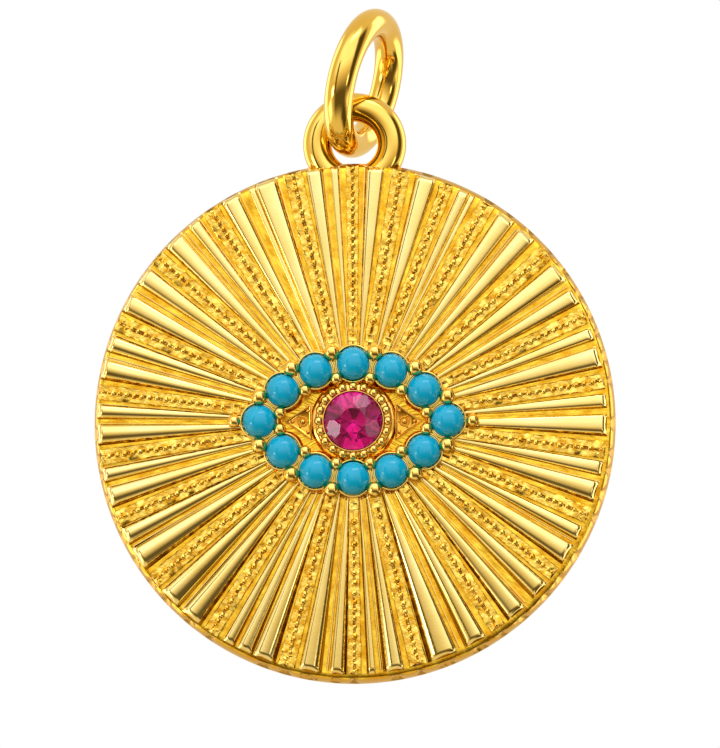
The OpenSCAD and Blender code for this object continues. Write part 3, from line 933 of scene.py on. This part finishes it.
def makeGrain(name, footAt):
    # a cast bead one mm across with a flat foot
    startClean()
    bpy.ops.mesh.primitive_ico_sphere_add(subdivisions=2, radius=0.5, location=(0, 0, 0))
    grain = named(name)
    cutAway(grain, (0, 0, footAt), (0, 0, 1))
    closeUp()
    return grain


cornerPads = {
    "at": 1.75, "pad": (1.3, 0.94, 0.2), "padFrame": 0.085, "padDeep": 0.09, "padBevel": 0.03,
    "ring": 0.16, "wire": 0.03, "ringTurns": 32, "bead": 0.2, "grain": 0.13, "smallGrain": 0.09,
    "grainFoot": -0.3, "grainUp": 0.2, "grainShare": 0.55, "smallShare": -0.5,
}


def makeCorners():
    # in the hollow at each end of the ruby: a three-cornered pad with a ringed bead and small grains on it
    s = cornerPads
    wide, long, tall = s["pad"]
    up = tall - s["padDeep"]
    grain = makeGrain("grain", s["grainFoot"])
    # the pad points along +Y
    pad = framedPad("pad", 3, 0, s)
    ring = spunChain("padRing", arcPoints((s["ring"], up), s["wire"], 0, 360, 8), s["ringTurns"])
    places = [(0, 0, s["bead"])]
    for x, y in ((0, 2 * long / 3), (-wide / 2, -long / 3), (wide / 2, -long / 3)):
        # a grain towards each corner of the pad, and a smaller one opposite
        x, y = s["grainShare"] * x, s["grainShare"] * y
        places += [(x, y, s["grain"]), (s["smallShare"] * x, s["smallShare"] * y, s["smallGrain"])]
    parts = []
    for side in (-1, 1):
        aim = Matrix.Translation((s["at"] * side, 0, 0)) @ Matrix.Rotation(math.radians(-90 * side), 4, "Z")
        parts += [copyOf(pad, aim), copyOf(ring, aim)]
        for across, along, size in places:
            spot = Matrix.Translation((across, along, up + s["grainUp"] * size))
            parts.append(copyOf(grain, aim @ spot @ Matrix.Scale(size, 4)))
    discard(grain, pad, ring)
    settleGold(joined("corner_beads", parts), setting, 50)


makeEyeBase()
makeCollets()
makeProngs()
makeCollar()
makeMilgrain()
makeCorners()
print("eye setting made")

# Seed beads along the strips

seeds = {
    # at the eye and at the rim
    "size": (0.31, 0.2), "pitch": (0.45, 0.24),
    "up": 0.15, "foot": -0.4, "endBare": 0.45, "topEndBare": 0.12,
    # from bead to bead: shares of the bare end, the size, the length and the pitch, and mm across and up
    "bareVaries": (0.6, 1.3), "sizeVaries": (0.88, 1.1), "longVaries": (0.9, 1.1), "pitchVaries": (0.85, 1.15),
    "acrossVaries": (-0.015, 0.015), "upVaries": (-0.02, 0.015),
    # the framed pad at a strip's inner end
    "pad": (0.32, 0.3, 0.21), "padOff": 0.1, "padFrame": 0.05, "padDeep": 0.04, "padBevel": 0.02,
    # flat lumps on a strip's bare end: how far across, how far in, and how wide
    "lumps": ((-0.13, 0.16, 0.3), (0.12, 0.2, 0.26), (-0.02, 0.34, 0.28), (0.0, 0.1, 0.2)),
    "lumpUp": 0.1, "lumpLong": 0.8, "lumpTall": 0.16,
    "lumpAcrossVaries": (-0.03, 0.03), "lumpInVaries": (0, 0.05), "lumpTurns": (0, 3),
}


def between(pair, share):
    return pair[0] + (pair[1] - pair[0]) * share


def makeSeedBeads():
    s = seeds
    master = makeGrain("seedBead", s["foot"])
    pad = framedPad("stripPad", 4, 45, s)
    parts = []
    for row, group in enumerate(rayGroups):
        aim, length = rayAim(group[0])
        # the topmost strip, under the loop, has beads almost to its end
        bare = s["endBare"] * rng.uniform(*s["bareVaries"]) if row else s["topEndBare"]
        for across, inward, wide in s["lumps"] if row else ():
            lump = Matrix.Translation((across + rng.uniform(*s["lumpAcrossVaries"]),
                                       length - inward - rng.uniform(*s["lumpInVaries"]), s["lumpUp"]))
            parts.append(copyOf(master, aim @ lump @ Matrix.Rotation(rng.uniform(*s["lumpTurns"]), 4, "Z")
                                @ Matrix.Diagonal((wide, s["lumpLong"] * wide, s["lumpTall"], 1))))
        padAt = lidCrossing(aim, colletRadius + s["padOff"]) + s["pad"][1] / 2
        parts.append(copyOf(pad, aim @ Matrix.Translation((0, padAt, 0))))
        along = length - bare
        while along > padAt + s["pad"][1]:
            share = along / length
            size = between(s["size"], share) * rng.uniform(*s["sizeVaries"])
            spot = Matrix.Translation((rng.uniform(*s["acrossVaries"]), along,
                                       s["up"] + rng.uniform(*s["upVaries"])))
            shape = Matrix.Diagonal((size, size * rng.uniform(*s["longVaries"]), size, 1))
            parts.append(copyOf(master, aim @ spot @ shape))
            along -= between(s["pitch"], share) * rng.uniform(*s["pitchVaries"])
    discard(master, pad)
    count = len(parts)
    settleGold(joined("seed_beads", parts), beaded, 60)
    return count


print("seed beads made:", makeSeedBeads())

# Stones

def cutFacet(azimuth, through, tiltDeg):
    # one flat facet: the plane leans out from upright by its tilt and passes through (radius, height)
    a, t = math.radians(azimuth), math.radians(tiltDeg)
    out = Vector((math.cos(a) * math.sin(t), math.sin(a) * math.sin(t), math.cos(t)))
    at = Vector((through[0] * math.cos(a), through[0] * math.sin(a), through[1]))
    bpy.ops.mesh.select_all(action="SELECT")
    bpy.ops.mesh.bisect(plane_co=at, plane_no=out, use_fill=True, clear_outer=True, threshold=gem["exact"])


def makeRuby():
    # a round brilliant: eight kites, stars and mains, sixteen halves above and below the girdle
    s = gem
    girdleTop = rubyHigh.z - s["crown"]
    turn, eighth = s["turnDeg"], 45
    startClean()
    bpy.ops.mesh.primitive_cylinder_add(vertices=96, radius=rubyRadius, depth=rubyHigh.z - rubyLow.z,
                                        location=(0, 0, (rubyHigh.z + rubyLow.z) / 2))
    piece = named("cut_ruby")
    bpy.ops.object.mode_set(mode="EDIT")
    tableCorner = s["table"] / math.cos(math.radians(eighth / 2))
    kiteTilt = math.degrees(math.atan2(s["crown"], rubyRadius - tableCorner))
    mainTilt = 180 - math.degrees(math.atan2(s["pavilion"], rubyRadius))
    for k in range(8):
        cutFacet(eighth * k + turn, (rubyRadius, girdleTop), kiteTilt)
        cutFacet(eighth * k + turn, (rubyRadius, girdleFoot), mainTilt)
    above, below = s["halfSteeper"]
    reach = rubyRadius * math.cos(math.radians(eighth / 4))
    for k in range(16):
        azimuth = eighth / 2 * k + eighth / 4
        cutFacet(azimuth, (reach, girdleTop + s["halfOff"]), kiteTilt + above)
        cutFacet(azimuth, (reach, girdleFoot - s["halfOff"]), mainTilt - below)
    for k in range(8):
        cutFacet(eighth * k + turn + eighth / 2, (s["table"], rubyHigh.z), kiteTilt - s["starFlatter"])
    closeUp()
    settle(piece, hang, "pendant", rubyStone, ["ruby"], 1)


cabochon = {"domeTall": 0.42, "domeSteps": 14, "girdleTall": 0.02, "footRound": 0.03, "turns": 48}


def makeTurquoises():
    # a drum with a high, evenly rounded dome
    s = cabochon
    domeTall = s["domeTall"]
    for name, (low, high) in stoneBoxes.items():
        radius = (high.x - low.x) / 2
        domeRound = (radius ** 2 + domeTall ** 2) / (2 * domeTall)
        reach = math.degrees(math.acos((domeRound - domeTall) / domeRound))
        dome = arcPoints((0, high.z - domeRound), domeRound, 90, 90 - reach, s["domeSteps"])
        dome[0] = (0, high.z)
        drum = [(radius, high.z - domeTall - s["girdleTall"]), (radius, low.z + s["footRound"]),
                (radius - s["footRound"], low.z), (0, low.z)]
        piece = spunChain("cabochon_" + name[-2:], dome + drum, s["turns"])
        centre = (low + high) / 2
        settle(piece, hang @ Matrix.Translation((centre.x, centre.y, 0)), "pendant", turquoiseStone,
               [name], 50)


makeRuby()
makeTurquoises()
print("stones made")

# Loop and jump ring

ringSizes = {"loopWire": 0.5, "loopCentre": 1.29, "loopUp": 9.68, "ringWire": 0.5, "ringOuter": 2.63,
             "wireSteps": 40, "turnSteps": 128}


def makeHoop(name, centreline, wire):
    s = ringSizes
    startClean()
    bpy.ops.mesh.primitive_circle_add(vertices=s["wireSteps"], radius=wire, location=(centreline, 0, 0),
                                      rotation=(math.radians(90), 0, 0))
    piece = named(name)
    editAll(piece)
    bpy.ops.mesh.spin(steps=s["turnSteps"], angle=2 * math.pi, center=(0, 0, 0), axis=(0, 0, 1))
    closeUp()
    return piece


def makeLoop():
    s = ringSizes
    piece = makeHoop("fixed_loop", s["loopCentre"], s["loopWire"])
    settle(piece, hang @ Matrix.Translation((0, s["loopUp"], discSizes["thick"] / 2)), "pendant", wired,
           ["medallion"])


def makeJumpRing():
    s = ringSizes
    low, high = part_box("jump_ring")
    hole = [m for m in frame["record"]["mounts"] if m["name"] == "chain_hang"][0]
    facing = Vector(hole["axis"]).to_track_quat("Z", "Y").to_matrix().to_4x4()
    piece = makeHoop("jump_ring_wire", s["ringOuter"] - s["ringWire"], s["ringWire"])
    settle(piece, Matrix.Translation((low + high) / 2) @ facing @ Matrix.Scale(mm, 4), "hanger", wired,
           ["jump_ring"])


makeLoop()
makeJumpRing()
print("loop and jump ring made")

# Studio

studio = {
    # azimuth and elevation of each patch's middle, half its width and height, soft edge, all in degrees, then its
    # brightness and colour; azimuth 0 is behind the camera, 90 to the camera's right
    "base": ("#FFEFCC", 0.9),
    "patches": [
        (0, 38, 62, 30, 15, 1.85, "#E8F1FF"),
        (22, 60, 34, 6, 3, 4.5, "#FFFFFF"),
        (8, -36, 52, 22, 15, 0.14, "#FFE2A8"),
        (78, -48, 30, 14, 8, 0.1, "#FFE2A8"),
        (-80, -32, 14, 12, 5, 2.2, "#FFFFFF"),
        (84, -22, 9, 8, 4, 1.8, "#FFFFFF"),
        (-57, -13, 7, 6, 3, 7.0, "#FFFFFF"),
        (51, -14, 5, 5, 3, 3.5, "#FFFFFF"),
        (70, 10, 17, 34, 8, 0.1, "#FFE2A8"),
        (-38, 2, 6, 24, 4, 0.14, "#FFE2A8"),
        (118, 0, 13, 40, 6, 2.6, "#FFFAF0"),
        (-118, 0, 13, 40, 6, 2.6, "#FFFAF0"),
    ],
    "seen": ("#FFFFFF", 1.0),
}


def lightStudio():
    world = bpy.data.worlds.new("softStudio")
    bpy.context.scene.world = world
    world.use_nodes = True
    tree = world.node_tree
    tree.nodes.clear()
    way = addNode(tree, "TexCoord").outputs["Generated"]
    parts = addNode(tree, "SeparateXYZ", links={0: way})
    forward = addNode(tree, "Math", {"operation": "MULTIPLY", 1: -1}, {0: parts.outputs[1]})
    azimuth = addNode(tree, "Math", {"operation": "ARCTAN2"}, {0: parts, 1: forward})
    elevation = addNode(tree, "Math", {"operation": "ARCSINE"}, {0: parts.outputs[2]})

    def within(angle, middle, half, soft):
        # 1 inside a span of directions, fading to 0 over its soft edge
        off = addNode(tree, "Math", {"operation": "SUBTRACT", 1: math.radians(middle)}, {0: angle})
        away = addNode(tree, "Math", {"operation": "ABSOLUTE"}, {0: off})
        fade = addNode(tree, "MapRange",
                       {"interpolation_type": "SMOOTHSTEP", "From Min": math.radians(half - soft),
                        "From Max": math.radians(half + soft), "To Min": 1, "To Max": 0}, {"Value": away})
        return fade

    def glow(code, strength):
        return [c * strength for c in hexColour(code)[:3]] + [1]

    colour = addNode(tree, "RGB").outputs[0]
    colour.default_value = glow(*studio["base"])
    for az, el, halfWide, halfTall, soft, strength, code in studio["patches"]:
        across = within(azimuth, az, halfWide, soft)
        upright = within(elevation, el, halfTall, soft)
        mask = addNode(tree, "Math", {"operation": "MULTIPLY"}, {0: across, 1: upright})
        mix = addNode(tree, "Mix", {"data_type": "RGBA", 7: glow(code, strength)}, {0: mask, 6: colour})
        colour = mix.outputs[2]
    lit = addNode(tree, "Background", links={"Color": colour})
    seen = addNode(tree, "Background", {"Color": glow(*studio["seen"])})
    path = addNode(tree, "LightPath")
    pick = addNode(tree, "MixShader", links={0: path.outputs["Is Camera Ray"], 1: lit, 2: seen})
    addNode(tree, "OutputWorld", links={"Surface": pick})


tableTop = {"wide": 2, "up": -0.06, "colour": "#F2F0EC", "roughness": 0.6}          # in metres


def layFloor():
    # a plain painted table top, pale and matt, well below the hanging pendant
    s = tableTop
    startClean()
    bpy.ops.mesh.primitive_plane_add(size=s["wide"], location=(0, 0, s["up"]))
    floor = named("floor")
    finish, tree = newFinish("paleTable")
    shader = addNode(tree, "BsdfPrincipled",
                     {"Base Color": hexColour(s["colour"]), "Roughness": s["roughness"]})
    addNode(tree, "OutputMaterial", links={"Surface": shader})
    floor.data.materials.append(finish)
    floor.visible_glossy = False
    floor.visible_diffuse = False


camera = {
    # angles in degrees and lengths in mm, but for how near and how far it sees, which are in metres
    "azimuth": 3.0, "elevation": -5.0, "distance": 200, "viewTall": 25.79, "aim": (-0.52, 0, -11.70),
    "sensor": 24, "clip": (0.005, 10),
}


def setCamera():
    s = camera
    a, e = math.radians(s["azimuth"]), math.radians(s["elevation"])
    back = Vector((math.sin(a) * math.cos(e), -math.cos(a) * math.cos(e), math.sin(e)))
    lens = bpy.data.cameras.new("studioCamera")
    eyePoint = bpy.data.objects.new("studioCamera", lens)
    bpy.context.collection.objects.link(eyePoint)
    lens.sensor_fit = "VERTICAL"
    lens.sensor_height = s["sensor"]
    lens.lens = s["sensor"] * s["distance"] / s["viewTall"]
    lens.clip_start, lens.clip_end = s["clip"]
    turn = back.to_track_quat("Z", "Y").to_matrix().to_4x4()
    eyePoint.matrix_world = Matrix.Translation((Vector(s["aim"]) + back * s["distance"]) * mm) @ turn
    bpy.context.scene.camera = eyePoint


lightStudio()
layFloor()
setCamera()
bpy.context.scene.view_settings.view_transform = "Standard"
print("studio set")
